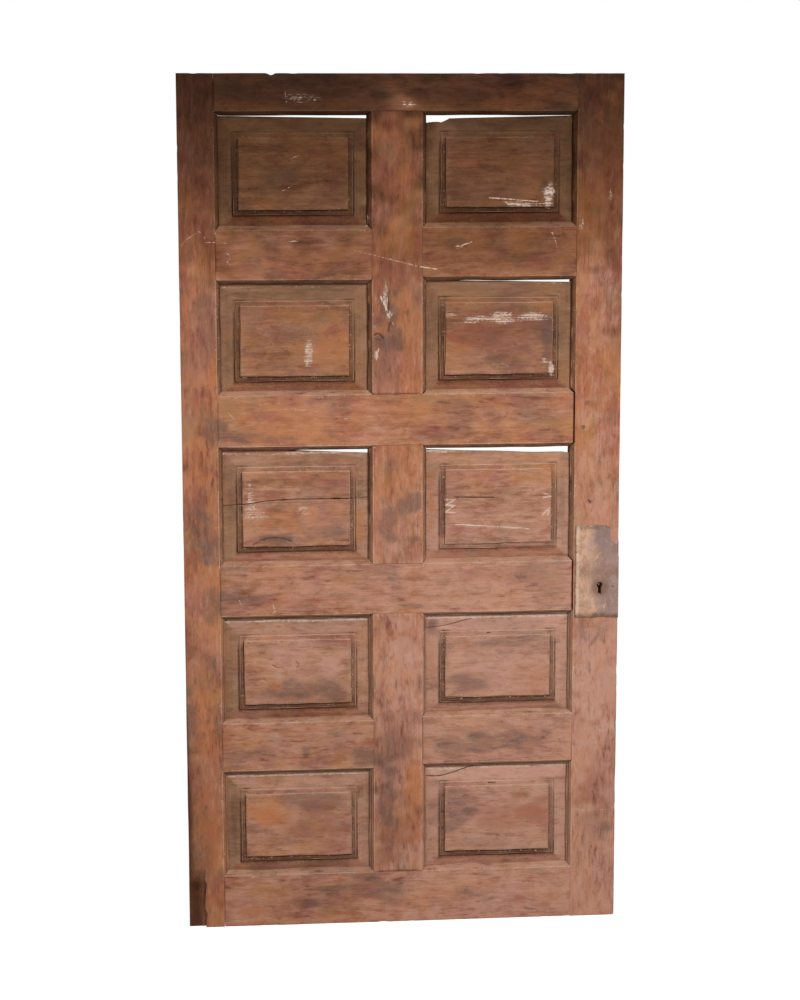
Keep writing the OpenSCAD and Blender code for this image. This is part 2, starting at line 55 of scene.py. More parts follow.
# Scratches and gouges reach the surfaces in front of this Y
MARKED_Y = FRONT_Y + 8
# Depth of a panel's raised field behind the leaf's front, and a depth between its bevels and its back
FIELD_DEEP = 3
BEVELS_END_DEEP = 24
# Shorter edges are never eased, and blunter ones are shaded smooth
SHORTEST_ARRIS = 12 * MM
SHARP_ANGLE = math.radians(40)

# Pieces by grain: uprights have it along Z, rails and panels along X
UPRIGHTS = ["left_stile", "right_stile", "upper_muntin", "middle_muntin", "lower_muntin"]
RAILS = [
    "top_rail", "upper_rail_left", "upper_rail_right", "middle_rail", "lock_rail",
    "lower_rail_left", "lower_rail_right", "bottom_rail",
]
PANELS = [f"panel_{row}_{side}" for row in range(1, 6) for side in ("left", "right")]

# Openings of the two columns: their sides across, and their heads and feet down
COLUMNS = [(85, 449), (567, 931)]
ROWS = [
    [(86, 358), (474, 744), (865, 1150), (1271, 1533), (1651, 1912)],
    [(86, 353), (469, 744), (865, 1150), (1271, 1526), (1644, 1912)],
]
OPENINGS = [(x0, y0, x1, y1) for (x0, x1), rows in zip(COLUMNS, ROWS) for y0, y1 in rows]

# Lock plate: its left edge, foot and top in mm, across from the leaf's middle and up from its foot
PLATE_EDGES = (414, 742, 970)
# Its nails in the same way, and its keyhole in metres
NAILS = [(417, 910), (505.5, 825), (464, 757), (486, 757), (496, 954)]
KEYHOLE = (0.475, -0.0225, 0.824)

# Torn edge of the lost lower corner: where it runs across and down
TORN_ACROSS, TORN_DOWN = (12, 62), (1870, 2030)

# Marks of use on the front: x and y in mm from the leaf's left and top edges, reach across, reach
# down and strength. The first are dark stains
STAINS = [
    (85, 828, 36, 32, 0.8), (170, 846, 75, 14, 0.7), (350, 833, 18, 9, 0.7), (640, 822, 26, 14, 0.4),
    (890, 800, 45, 50, 0.35), (55, 1065, 34, 70, 0.65), (66, 1240, 30, 46, 0.75),
    (125, 1230, 75, 13, 0.75), (530, 1010, 42, 28, 0.8), (488, 1062, 24, 60, 0.75),
    (545, 1092, 22, 9, 0.9), (495, 1165, 15, 48, 0.4), (540, 1254, 40, 8, 0.6),
    (840, 1172, 60, 28, 0.35), (290, 1457, 115, 28, 0.7), (760, 1345, 115, 20, 0.6),
    (690, 1452, 32, 15, 0.4), (170, 1612, 60, 24, 0.5), (285, 1612, 15, 32, 0.75),
    (355, 1600, 20, 22, 0.4), (440, 1622, 62, 22, 0.75), (482, 1632, 26, 16, 0.75),
    (110, 1642, 42, 9, 0.75), (650, 1600, 50, 30, 0.5), (760, 1588, 115, 34, 0.55),
    (500, 580, 16, 42, 0.8), (468, 618, 20, 26, 0.75), (760, 1636, 62, 11, 0.5),
    (545, 1525, 40, 25, 0.5), (485, 1720, 28, 90, 0.75), (225, 1085, 45, 8, 0.9),
    (748, 658, 10, 5, 1.0), (590, 1300, 22, 16, 0.7), (340, 1720, 60, 20, 0.6), (508, 605, 22, 36, 0.8),
    (460, 1880, 26, 30, 0.5), (20, 1870, 34, 60, 0.5), (492, 1805, 20, 60, 0.6),
    (310, 1730, 105, 34, 0.7), (345, 1790, 60, 40, 0.4), (640, 1762, 40, 62, 0.5),
    (700, 1850, 105, 18, 0.35), (380, 1916, 85, 14, 0.6), (340, 1951, 42, 9, 0.7),
    (290, 1990, 25, 12, 0.95), (480, 1952, 40, 18, 0.5), (690, 1972, 50, 20, 0.5),
    (330, 2012, 25, 16, 0.5), (8, 1555, 22, 75, 0.8), (12, 1400, 22, 60, 0.5), (55, 1390, 22, 62, 0.5),
    (975, 1322, 52, 30, 0.5), (1012, 1775, 34, 60, 0.35), (250, 232, 42, 20, 0.5),
    (250, 42, 190, 36, 0.55), (647, 393, 26, 15, 0.6), (285, 606, 62, 22, 0.5), (760, 662, 85, 15, 0.6),
    (868, 630, 26, 62, 0.5), (478, 612, 18, 62, 0.5), (370, 1066, 42, 28, 0.4),
    (14, 1950, 30, 110, 0.5), (969, 1008, 9, 5, 0.7),
]
# Dabs of plaster dust
PLASTER = [
    (862, 286, 15, 24, 0.75), (805, 301, 62, 8, 0.65), (770, 297, 40, 4, 0.5), (866, 258, 9, 20, 0.55),
    (636, 557, 18, 7, 0.6), (690, 569, 62, 9, 0.66), (762, 565, 34, 15, 0.74), (815, 564, 42, 12, 0.66),
    (873, 688, 6, 18, 0.85), (860, 668, 14, 10, 0.55), (300, 640, 10, 26, 0.7), (653, 400, 12, 4, 0.55),
    (752, 676, 24, 7, 0.55), (481, 522, 8, 24, 0.6), (488, 562, 6, 20, 0.7), (458, 650, 6, 14, 0.75),
    (158, 985, 15, 55, 0.6), (175, 1030, 30, 16, 0.58), (285, 1022, 16, 12, 0.55),
    (290, 60, 50, 10, 0.35), (535, 70, 14, 8, 0.5), (1011, 280, 8, 14, 0.55), (942, 348, 8, 12, 0.55),
    (438, 338, 6, 14, 0.6), (275, 385, 18, 5, 0.5),
]
# Wood that sun and washing bleached
BLEACHED = [
    (190, 1770, 62, 44, 0.3), (45, 1600, 26, 220, 0.3), (540, 1690, 38, 160, 0.3),
    (515, 1390, 60, 110, 0.85), (265, 1390, 120, 75, 0.65), (750, 1400, 130, 80, 0.72),
    (760, 1770, 110, 70, 0.4), (270, 1200, 160, 40, 0.55), (760, 1595, 170, 40, 0.62),
    (270, 1590, 150, 40, 0.45), (260, 805, 170, 45, 0.25), (760, 805, 170, 45, 0.35),
    (270, 980, 110, 50, 0.35), (260, 585, 120, 30, 0.35), (250, 385, 150, 20, 0.35),
    (560, 2000, 65, 28, 0.45), (190, 1998, 42, 25, 0.45), (800, 1945, 130, 40, 0.5),
    (250, 1562, 130, 18, 0.4), (170, 1022, 40, 42, 0.5), (985, 1450, 60, 160, 0.9),
    (760, 1430, 130, 55, 0.6), (980, 950, 60, 180, 0.5), (760, 1200, 140, 40, 0.3),
    (503, 546, 6, 12, 0.7), (985, 540, 60, 150, 0.38), (265, 1127, 160, 11, 0.7),
    (740, 1127, 160, 11, 0.6), (745, 1512, 140, 10, 0.8), (745, 1890, 140, 10, 0.7),
    (265, 1890, 130, 8, 0.3), (860, 1480, 45, 30, 0.6), (985, 1900, 45, 110, 0.5),
]
# Redder wood
REDDENED = [
    (845, 1772, 62, 36, 0.8), (430, 1962, 42, 24, 0.5), (992, 1720, 42, 80, 0.6),
    (520, 1600, 32, 52, 0.6), (700, 610, 95, 28, 0.6), (300, 1800, 100, 36, 0.5),
    (800, 1990, 22, 12, 0.8), (640, 1130, 160, 14, 0.5), (760, 1790, 90, 30, 0.5),
    (530, 1330, 40, 40, 0.4), (250, 1240, 120, 16, 0.4), (760, 1185, 120, 20, 0.4),
    (45, 1740, 35, 120, 0.45), (508, 1800, 45, 80, 0.45), (745, 1120, 150, 16, 0.3),
    (870, 1790, 40, 40, 0.5),
]
# Warm patches where old varnish is left
AMBER = [
    (75, 680, 14, 50, 0.7), (355, 620, 40, 40, 0.6), (200, 560, 50, 25, 0.5), (660, 620, 45, 35, 0.6),
    (250, 815, 140, 45, 0.4), (50, 910, 35, 60, 0.6), (240, 1035, 95, 30, 0.6),
    (415, 1060, 12, 60, 0.8), (588, 1005, 12, 80, 0.8), (45, 1540, 28, 110, 0.7),
    (505, 1430, 55, 55, 0.55), (1000, 1420, 36, 100, 0.4), (590, 1400, 12, 60, 0.6),
    (850, 1440, 40, 30, 0.5), (265, 1127, 150, 11, 0.5), (740, 1890, 130, 10, 0.5),
    (45, 1750, 24, 130, 0.6), (195, 1755, 50, 40, 0.8), (545, 1775, 25, 120, 0.7),
    (150, 2005, 45, 14, 0.7), (610, 1990, 90, 30, 0.5), (700, 200, 80, 40, 0.4),
    (508, 200, 40, 90, 0.4), (250, 420, 130, 30, 0.4), (45, 1350, 35, 90, 0.5),
    (790, 1127, 120, 12, 0.55), (800, 45, 150, 40, 0.6), (270, 1195, 150, 35, 0.4),
    (545, 1690, 30, 60, 0.8),
]
# Greyed, purplish patches
VIOLET = [
    (466, 575, 16, 24, 0.8), (492, 622, 26, 34, 0.6), (240, 1092, 60, 12, 0.5),
    (330, 1075, 50, 24, 0.5), (864, 622, 16, 62, 0.9), (478, 540, 14, 32, 0.8), (700, 610, 60, 20, 0.5),
    (680, 1450, 50, 30, 0.8), (620, 1370, 14, 60, 0.5), (855, 250, 14, 26, 0.8),
    (590, 1305, 24, 24, 0.9), (270, 1470, 130, 30, 0.6), (640, 1770, 60, 60, 0.6),
    (760, 1590, 120, 40, 0.6), (120, 1620, 40, 40, 0.5), (510, 1600, 60, 60, 0.6),
    (60, 1090, 40, 60, 0.5), (860, 1190, 70, 40, 0.5), (430, 1950, 110, 30, 0.6),
    (990, 1800, 50, 60, 0.5), (350, 1075, 40, 30, 0.7),
]
# Scratches with bits of plaster in them, as their points, width and strength
SCRATCHES = [
    ([(407, 406), (470, 422)], 0.9, 0.55), ([(470, 422), (560, 445)], 0.9, 0.7),
    ([(560, 445), (600, 451)], 1.3, 0.85),
    ([(7, 392), (20, 378), (48, 360), (60, 372), (62, 386), (95, 386), (112, 388)], 1.0, 0.6),
    ([(108, 406), (120, 420), (112, 432), (122, 440)], 1.0, 0.6),
    ([(183, 765), (230, 762), (270, 766)], 1.0, 0.6),
    ([(186, 779), (260, 776), (320, 783)], 1.0, 0.6),
    ([(110, 783), (124, 800)], 1.2, 0.7),
    ([(621, 998), (645, 998), (622, 1012), (645, 1012), (622, 1028), (645, 1030)], 1.7, 0.85),
    ([(645, 1058), (700, 1062), (760, 1066), (824, 1072)], 1.7, 0.85),
    ([(855, 984), (876, 994), (858, 996)], 1.7, 0.85),
    ([(855, 1038), (873, 1022), (868, 1038)], 1.7, 0.85),
    ([(724, 286), (780, 290), (840, 296)], 1.2, 0.7),
    ([(250, 40), (252, 66)], 1.0, 0.5),
    ([(660, 396), (683, 388)], 1.2, 0.8),
    ([(872, 366), (880, 385), (885, 405)], 1.2, 0.6),
    ([(242, 268), (262, 258)], 1.0, 0.6),
    ([(262, 194), (280, 188)], 1.2, 0.7),
    ([(950, 1771), (1017, 1772)], 1.0, 0.6),
    ([(480, 476), (482, 498)], 0.9, 0.8),
    ([(468, 514), (474, 524), (480, 536), (482, 545)], 2.2, 0.95),
    ([(486, 556), (487, 562)], 2.0, 0.95), ([(497, 575), (499, 580)], 1.4, 0.8),
    ([(464, 636), (458, 656)], 1.5, 0.9),
    ([(383, 800), (392, 801)], 1.2, 0.8), ([(130, 1232), (135, 1246)], 1.0, 0.7),
    ([(210, 1242), (214, 1262)], 1.4, 0.7),
]
# Gouges and splits of the face, as their points, width and depth
GOUGES = [
    ([(164, 1099), (180, 1091), (197, 1085), (216, 1083), (236, 1086), (256, 1093)], 2.0, 1.2),
    ([(190, 1095), (216, 1092), (245, 1096)], 3.5, 0.7),
    ([(484, 506), (487, 530), (488, 562), (490, 576), (486, 598)], 2.2, 1.6),
    ([(453, 604), (462, 600), (470, 606), (474, 612)], 1.6, 1.6), ([(456, 614), (470, 617)], 1.2, 1.0),
    ([(386, 798), (393, 803)], 1.4, 1.2), ([(966, 1004), (970, 1010)], 1.8, 1.4),
    ([(208, 1393), (219, 1399), (232, 1400)], 1.3, 1.0), ([(263, 1384), (270, 1391), (266, 1400)], 1.5, 1.2),
    ([(183, 1426), (192, 1430)], 1.3, 1.0),
]
# Brightness that soot and painted shade leave, from the top of the leaf down: distance in mm and share
SOOT_AND_SHADE = [
    (0, 0.13), (50, 0.17), (100, 0.25), (200, 0.32), (300, 0.42), (400, 0.58), (500, 0.8), (600, 0.88),
    (750, 1),
]
# Places left lighter than that: x, y, reach across, reach down, strength
LIGHTER_SPOTS = [
    (508, 210, 60, 130, 0.4), (620, 200, 60, 90, 0.15), (600, 210, 18, 90, 0.25),
    (45, 545, 50, 110, 0.6), (985, 545, 55, 110, 0.6),
]
# Places darker still by soot and painted shade, in the same way
DARKER_SPOTS = [
    (40, 150, 70, 110, 0.1), (745, 412, 190, 45, 0.22), (745, 338, 140, 10, 0.28),
    (985, 150, 60, 90, 0.12), (270, 42, 190, 40, 0.18), (505, 200, 50, 80, 0.1),
    (745, 605, 190, 140, 0.15), (265, 605, 190, 140, 0.12), (904, 1010, 12, 80, 0.25),
    (113, 1010, 11, 80, 0.2), (113, 1780, 11, 80, 0.3), (113, 1400, 11, 80, 0.1),
    (265, 1518, 140, 10, 0.25), (265, 1896, 140, 10, 0.25), (745, 1304, 130, 14, 0.15),
    (270, 1975, 170, 50, 0.15), (500, 1790, 50, 100, 0.16), (45, 1750, 40, 200, 0.12),
    (430, 1610, 100, 40, 0.1), (265, 722, 140, 12, 0.1),
]
# Mouldings that were wiped, with less dirt and painted shade, in the same way
WIPED_AND_UNSHADED = [(745, 1103, 170, 20, 0.65)]
# Bite out of the top edge: its place across, half its width and its depth
BITE = (218, 12, 5)

# Share of dirt and painted shade in the mouldings at the left, top, right and bottom side, round the
# openings and the fields
OPENING_SIDES = (0.6, 0.9, 0.6, 0)
FIELD_SIDES = (0.85, 0.22, 0.72, 1)
# Share of dust and painted light on the bevels at the left, top, right and bottom side of the fields, in the
# two columns
DUSTY_AND_LIT_SIDES = [(0.05, 0.9, 0.85, 0.3), (0.75, 0.9, 0.8, 0.55)]

# Dirty lines with painted shade, by their distance from a moulded edge, reach and strength: at a member's
# arris and chamfer foot, and at a panel's two steps and the ledge between them
MEMBER_SEAMS = [(-1.5, 3, 0.35), (-10.5, 4, 0.9)]
PANEL_SEAMS = [(1.5, 6, 0.85), (12.5, 6, 0.8), (6.5, 13, 0.7)]
# Rubbed arrises with painted highlights, by the same distances
MEMBER_ARRISES = [0.8, -19]
PANEL_ARRISES = [-0.8, 10.4]
# Hues of the grain from dark to light
STILE_HUES = ["#512c19", "#8c553b", "#a4684b", "#b87b5e", "#ca9b84"]
RAIL_HUES = ["#512d19", "#8d5a40", "#a66e51", "#b88264", "#caa088"]
PANEL_HUES = ["#4a2b18", "#83563d", "#9c6c50", "#b18163", "#c7a089"]

# Colour attributes of a worn piece, and the masks in their four channels
MASKS = {
    "marks": ("stain", "plaster", "bleached", "violet"),
    "cast": ("red", "grime", "olive", "shade"),
    "edge": ("edge", "share", "amber", "bevel"),
}
# Sockets of a Mix node for colours
MIX_FACTOR, MIX_UNDER, MIX_OVER = 0, 6, 7
MIX_OUT = 2


def ripple(points, reach, seed):
    """Smooth noise of about -1 to 1 at points, with waves about as long as the reach along x, y and z."""
    rng = np.random.default_rng(seed)
    waves = rng.normal(size=(14, 3)) * (2.5 / np.asarray(reach))
    phases = rng.uniform(0, 2 * math.pi, 14)
    return np.sin(points @ waves.T + phases).sum(axis=1) / 4


def smooth(t):
    """Eases a ramp from 0 to 1."""
    t = np.clip(t, 0, 1)
    return t * t * (3 - 2 * t)


def ramp(values, start, end):
    """A soft step from 0 at the start to 1 at the end, which may lie below the start."""
    return smooth((values - start) / (end - start))


def within(values, low, high, soft):
    """1 between two values and 0 outside them, with soft ends."""
    return ramp(values, low, low + soft) * ramp(values, high, high - soft)


def from_left_top(points):
    """Places in mm from the leaf's left edge and down from its top edge, for points in mm."""
    return points[:, 0] + LEAF_W / 2, LEAF_H - points[:, 2]


def beyond(x, y, rectangle):
    """Distance of the places outside a rectangle, below 0 inside it."""
    x0, y0, x1, y1 = rectangle
    return np.maximum(np.maximum(x0 - x, x - x1), np.maximum(y0 - y, y - y1))


def side_share(x, y, rectangle, shares):
    """Blend of the shares of a rectangle's left, top, right and bottom side, by how near each side is."""
    x0, y0, x1, y1 = rectangle
    weight = 1 / (2 + np.abs(np.stack([x - x0, y - y0, x - x1, y - y1]))) ** 2
    return np.asarray(shares) @ weight / weight.sum(axis=0)


def mitred_share(x, y, rectangle, shares):
    """The share of the side of a rectangle that a place lies beyond, parted at the mitres."""
    x0, y0, x1, y1 = rectangle
    return np.asarray(shares)[np.stack([x0 - x, y0 - y, x - x1, y - y1]).argmax(axis=0)]


def line_distance(x, y, points):
    """Distance of the places x, y to a line through points."""
    best = np.full(len(x), 1e9)
    for (ax, ay), (bx, by) in zip(points, points[1:]):
        run = np.array([bx - ax, by - ay])
        t = np.clip(((x - ax) * run[0] + (y - ay) * run[1]) / (run @ run), 0, 1)
        best = np.minimum(best, np.hypot(x - ax - t * run[0], y - ay - t * run[1]))
    return best


def blots(x, y, spots, wobble):
    """Soft blots at the spots, with an uneven rim."""
    mask = np.zeros(len(x))
    for cx, cy, across, down, strength in spots:
        away = np.hypot((x - cx) / across, (y - cy) / down)
        mask = np.maximum(mask, strength * ramp(away - 0.35 * wobble, 1.5, 0.4))
    return mask


def lines(x, y, strokes):
    """Soft lines along the strokes, as strong as each stroke says."""
    mask = np.zeros(len(x))
    for points, width, strength in strokes:
        mask = np.maximum(mask, strength * ramp(line_distance(x, y, points) / width, 1.7, 0.7))
    return mask


def merged_copy(node):
    """The CAD node's mesh as one closed body with flat faces."""
    body = bmesh.new()
    body.from_mesh(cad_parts[node].data)
    bmesh.ops.remove_doubles(body, verts=body.verts, dist=0.01 * MM)
    bmesh.ops.dissolve_limit(body, angle_limit=math.radians(0.5), verts=body.verts, edges=body.edges)
    return body


def in_joint(edge):
    """Whether a member's edge lies in a joint, away from the openings and the leaf's outline."""
    x, y = from_left_top(np.array([(edge.verts[0].co + edge.verts[1].co) / 2]) / MM)
    to_outline = -beyond(x, y, OUTLINE)[0]
    to_opening = min(abs(beyond(x, y, opening)[0]) for opening in OPENINGS)
    return to_outline > 42 and to_opening > 12


def in_moulding(edge):
    """Whether an edge lies at the foot of one of the two steps round a panel's field."""
    return edge.calc_length() > 60 * MM and max(v.co.y for v in edge.verts) / MM - FRONT_Y < 12


def ease_arrises(body, width, sunk):
    """Rounds the long outer edges, leaves tight joints sharp, and marks the faces that this makes."""
    eased = body.faces.layers.int.new("eased")
    arrises = []
    for edge in body.edges:
        if edge.is_manifold and edge.calc_length() > SHORTEST_ARRIS:
            turn = math.degrees(edge.calc_face_angle_signed())
            if sunk and (turn > 20 or turn < -20 and in_moulding(edge)):
                arrises.append(edge)
            elif turn > 20 and not sunk and not in_joint(edge):
                arrises.append(edge)
    made = bmesh.ops.bevel(
        body, geom=arrises, offset=width, segments=3, profile=0.5, affect="EDGES",
        clamp_overlap=False, material=-1,
    )
    for face in made["faces"]:
        face[eased] = 1


def cut_between(body, faces, axis, planes):
    """Cuts faces by planes across an axis, halving the list so that each cut meets few faces."""
    if not planes or not faces:
        return
    half = len(planes) // 2
    normal = Vector([float(i == axis) for i in range(3)])
    geometry = set(faces)
    for face in faces:
        geometry.update(face.edges, face.verts)
    result = bmesh.ops.bisect_plane(
        body, geom=list(geometry), dist=1e-6, plane_co=normal * planes[half], plane_no=normal
    )
    parts = [g for g in result["geom"] if isinstance(g, bmesh.types.BMFace)]
    low = [f for f in parts if f.calc_center_median()[axis] < planes[half]]
    high = [f for f in parts if f.calc_center_median()[axis] >= planes[half]]
    cut_between(body, low, axis, planes[:half])
    cut_between(body, high, axis, planes[half + 1:])


def cut_grid(body, step):
    """Cuts the faces into a grid of about that step across X and Z."""
    for axis in (0, 2):
        places = [v.co[axis] for v in body.verts]
        low, high = min(places), max(places)
        count = max(1, round((high - low) / step))
        planes = [low + (high - low) * i / count for i in range(1, count)]
        cut_between(body, list(body.faces), axis, planes)


def refine_scratches(body):
    """Cuts the grid finer where a scratch or gouge runs over the front."""
    body.edges.ensure_lookup_table()
    middles = np.array([(e.verts[0].co + e.verts[1].co) / 2 for e in body.edges]) / MM
    x, y = from_left_top(middles)
    marked = np.zeros(len(x), bool)
    for points, *_ in SCRATCHES + GOUGES:
        marked |= line_distance(x, y, points) < 5
    marked &= middles[:, 1] < MARKED_Y
    chosen = [body.edges[i] for i in np.flatnonzero(marked)]
    if chosen:
        bmesh.ops.subdivide_edges(body, edges=chosen, cuts=4, use_grid_fill=True)


def smooth_mesh(body, name):
    """A mesh of a body, with smooth faces."""
    mesh = bpy.data.meshes.new(name)
    body.to_mesh(mesh)
    body.free()
    mesh.polygons.foreach_set("use_smooth", [True] * len(mesh.polygons))
    return mesh


def in_scene(name, data):
    """A new object of the scene that holds the data."""
    thing = bpy.data.objects.new(name, data)
    bpy.context.scene.collection.objects.link(thing)
    return thing


def vertex_array(mesh, name):
    """A vector of each vertex, such as its place or its normal."""
    values = np.zeros(len(mesh.vertices) * 3)
    mesh.vertices.foreach_get(name, values)
    return values.reshape(-1, 3)


def eased_vertices(mesh):
    """1 at the vertices of faces that the easing made, else 0."""
    flags = np.zeros(len(mesh.polygons), np.int32)
    mesh.attributes["eased"].data.foreach_get("value", flags)
    totals = np.zeros(len(mesh.polygons), np.int32)
    corners = np.zeros(len(mesh.loops), np.int32)
    mesh.polygons.foreach_get("loop_total", totals)
    mesh.loops.foreach_get("vertex_index", corners)
    marked = np.zeros(len(mesh.vertices))
    np.maximum.at(marked, corners, np.repeat(flags, totals))
    return marked


def wander(co, seed, sunk):
    """Bends the moulded edges a little in the plane of the leaf, as hand work and wear leave them."""
    x, y = from_left_top(co)
    inside = -np.min([beyond(x, y, opening) for opening in OPENINGS], axis=0)
    reach = 1.2 * ramp(inside, 14, 26) if sunk else 0.6 * ramp(inside, -4, 0)
    for axis in (0, 2):
        co[:, axis] += reach * ripple(co, (70, 1000, 70), seed + 7 + axis)
    if not sunk:
        torn = within(x, *TORN_ACROSS, 12) * within(y, *TORN_DOWN, 20)
        co[:, 0] += 3 * torn * ripple(co, (1000, 1000, 26), 7)
        middle, half, depth = BITE
        co[:, 2] -= depth * ramp(np.abs(x - middle), half, 0) * ramp(y, 16, 0)


def dent(mesh, seed, sunk):
    """Makes the faces slightly uneven, chips the arrises and cuts the gouges, always inwards."""
    co, normal = vertex_array(mesh, "co") / MM, vertex_array(mesh, "normal")
    eased = eased_vertices(mesh)
    wander(co, seed, sunk)
    hollow = 0.25 * (1 + ripple(co, (120, 50, 120), seed))
    chip = smooth(0.9 * ripple(co, (26, 26, 26), seed + 1) - 0.45) * 1.3 * eased
    # Tenons, tongues and grooves inside the leaf keep their fit
    inside = np.abs(co[:, 1]) < 12
    x, y = from_left_top(co)
    gouge = lines(x, y, GOUGES) * (co[:, 1] < MARKED_Y)
    depth = np.where(inside, 0, np.clip(hollow + chip, 0, 1.6)) + gouge
    co -= normal * depth[:, None]
    mesh.vertices.foreach_set("co", (co * MM).ravel())


def read_surface(mesh, seed):
    """Places of the vertices in mm from the leaf's left, top and front, and how each of them lies."""
    co, normal = vertex_array(mesh, "co") / MM, vertex_array(mesh, "normal")
    x, y = from_left_top(co)
    deep = co[:, 1] - FRONT_Y
    to_outline = -beyond(x, y, OUTLINE)
    slant = (deep > 0.7) * (1 - ramp(to_outline, 3, 0))
    lost_corner = ramp(x, 52, 38) * ramp(y, 1880, 1940)
    aside = np.maximum(np.abs(normal[:, 0]), -normal[:, 2])
    return SimpleNamespace(
        x=x,
        y=y,
        deep=deep,
        rise=normal[:, 2],
        lost_corner=lost_corner,
        wobble=ripple(co, (50, 1000, 30), seed + 5),
        front=ramp(deep, 20, 16),
        up=smooth(1.6 * normal[:, 2] - 0.3) * slant,
        under=smooth(1.8 * aside - 0.3) * slant * (1 - lost_corner),
    )


def soot_and_painted_shade(at):
    """Share of light that soot and painted shade leave, least in the lost corner and low on the hinge edge.
    """
    level = np.interp(at.y + 30 * at.wobble, *zip(*SOOT_AND_SHADE))
    lightened, darkened = (blots(at.x, at.y, spots, at.wobble) for spots in (LIGHTER_SPOTS, DARKER_SPOTS))
    shade = (level + (1 - level) * lightened) * (1 - darkened)
    # Painted shade darkens the recess of the lost corner and the foot of the hinge edge
    reach = 5 + 18 * ramp(at.y, 1450, 1900)
    hinge_edge_shade = ramp(at.x, reach, 0) * ramp(at.y, 1100, 1700)
    return shade * (1 - 0.72 * np.maximum(at.lost_corner * ramp(at.x, 50, 20), hinge_edge_shade))


def listed_wear(at):
    """Masks of the soot and painted shade, and of the marks that the lists place on the front."""
    def marked(spots):
        return blots(at.x, at.y, spots, at.wobble) * at.front

    gouged = [(points, width, min(0.8, 0.4 * depth)) for points, width, depth in GOUGES]
    return {
        "stain": marked(STAINS),
        "plaster": np.maximum(marked(PLASTER), lines(at.x, at.y, SCRATCHES) * at.front),
        # Faces that look up are paler, with dust and painted light
        "bleached": np.maximum(marked(BLEACHED), 0.6 * at.up),
        "violet": marked(VIOLET),
        "red": marked(REDDENED),
        "amber": marked(AMBER),
        "grime": lines(at.x, at.y, gouged) * at.front,
        "shade": soot_and_painted_shade(at),
    }


def deepen(wear, name, mask):
    """Raises one of the masks to another mask where that is stronger."""
    wear[name] = np.maximum(wear[name], mask)


def field_rectangle(x, y, deep):
    """Rectangle of a panel's raised field."""
    field = np.abs(deep - FIELD_DEEP) < 1
    return x[field].min(), y[field].min(), x[field].max(), y[field].max()


def panel_wear(wear, at):
    """Adds dirt and painted shade in the mouldings round a panel's raised field, and dust, painted light,
    grey and highlights on its bevels.
    """
    x, y, deep = at.x, at.y, at.deep
    field = field_rectangle(x, y, deep)
    edge = beyond(x, y, field)
    dirt_and_shade_kept = 1 - blots(x, y, WIPED_AND_UNSHADED, at.wobble)
    wear["edge"] = edge
    wear["share"] = side_share(x, y, field, FIELD_SIDES) * dirt_and_shade_kept
    bevel = ramp(deep, 9, 11) * (deep < BEVELS_END_DEEP)
    low = ramp(y, 680, 1080)
    column = int(x.mean() > LEAF_W / 2)
    # Dust and painted light on the bevels, by their side, in the lower rows and more in the right column
    dusty_and_lit = bevel * low * mitred_share(x, y, field, DUSTY_AND_LIT_SIDES[column]) * (0.6 + 0.4 * column)
    below = mitred_share(x, y, field, (0, 0, 0, 1))
    foot = bevel * below
    wear["bevel"] = bevel
    wear["olive"] = bevel * (1 - dusty_and_lit) * (1 - foot)
    deepen(wear, "bleached", dusty_and_lit)
    deepen(wear, "red", foot * (0.5 - 0.2 * low))
    # Painted shade, with dirt, on faces that look sideways or down and on the upper rows' bottom bevels
    deepen(wear, "grime", 0.15 * at.under)
    deepen(wear, "grime", 0.35 * foot * (1 - low))
    # A painted shadow, with dirt, in a band under the field's bottom step
    deepen(wear, "grime", 0.62 * dirt_and_shade_kept * below * ramp(edge, 30, 10) * ramp(edge, 2, 6))
    # A painted highlight in the plaster colour in a line under the head of the opening, and dust with a
    # painted highlight on the panel's upper edges that look up
    head = min((opening[1] for opening in OPENINGS), key=lambda y0: abs(y0 - field[1] + 60))
    under_head = ramp(np.abs(y - head - 17), 4.8, 0.8)
    deepen(wear, "plaster", 0.8 * ramp(y, 400, 600) * under_head * bevel)
    deepen(wear, "plaster", 0.6 * ramp(at.rise, 0.6, 0.9) * (deep > 14) * (edge > 20))


def member_wear(wear, at):
    """Adds dirt and painted shade, and greying, to the chamfers that the members have round the openings."""
    x, y = at.x, at.y
    away = np.array([beyond(x, y, opening) for opening in OPENINGS])
    shares = np.array([side_share(x, y, opening, OPENING_SIDES) for opening in OPENINGS])
    nearest = (away.argmin(axis=0), np.arange(len(x)))
    edge = away[nearest]
    high = ramp(y, 1250, 950)
    # In the lower rows the distances are stretched, so that the dirty, shaded lines lie nearer to the arris
    wear["edge"] = np.where(edge < 0, edge * (1.8 - 0.8 * high), edge)
    wear["share"] = shares[nearest]
    wear["bevel"] = np.zeros(len(x))
    wear["olive"] = 0.6 * np.maximum(at.under, at.up)
    sunken = ramp(at.deep, 4, 10)
    # Chamfers that look sideways or down get dirt and painted shade, more in the upper rows and deeper in
    deepen(wear, "grime", at.under * (0.1 + 0.32 * high + (0.2 + 0.2 * high) * sunken))


def paint(mesh, seed, sunk):
    """Paints the masks that the wood reads, and the distance to the nearest moulded edge."""
    at = read_surface(mesh, seed)
    wear = listed_wear(at)
    if sunk:
        panel_wear(wear, at)
    else:
        member_wear(wear, at)
    # The lower part paler, and more towards the lock side
    across = 0.05 + 0.6 * ramp(at.x, 70, 130) + 0.35 * ramp(at.x, 300, 750)
    deepen(wear, "bleached", 0.61 * across * ramp(at.y, 600, 1200) * at.front)
    for name, channels in MASKS.items():
        values = np.stack([wear[channel] for channel in channels], axis=1).astype(np.float32)
        mesh.attributes.new(name, "FLOAT_COLOR", "POINT").data.foreach_set("color", values.ravel())


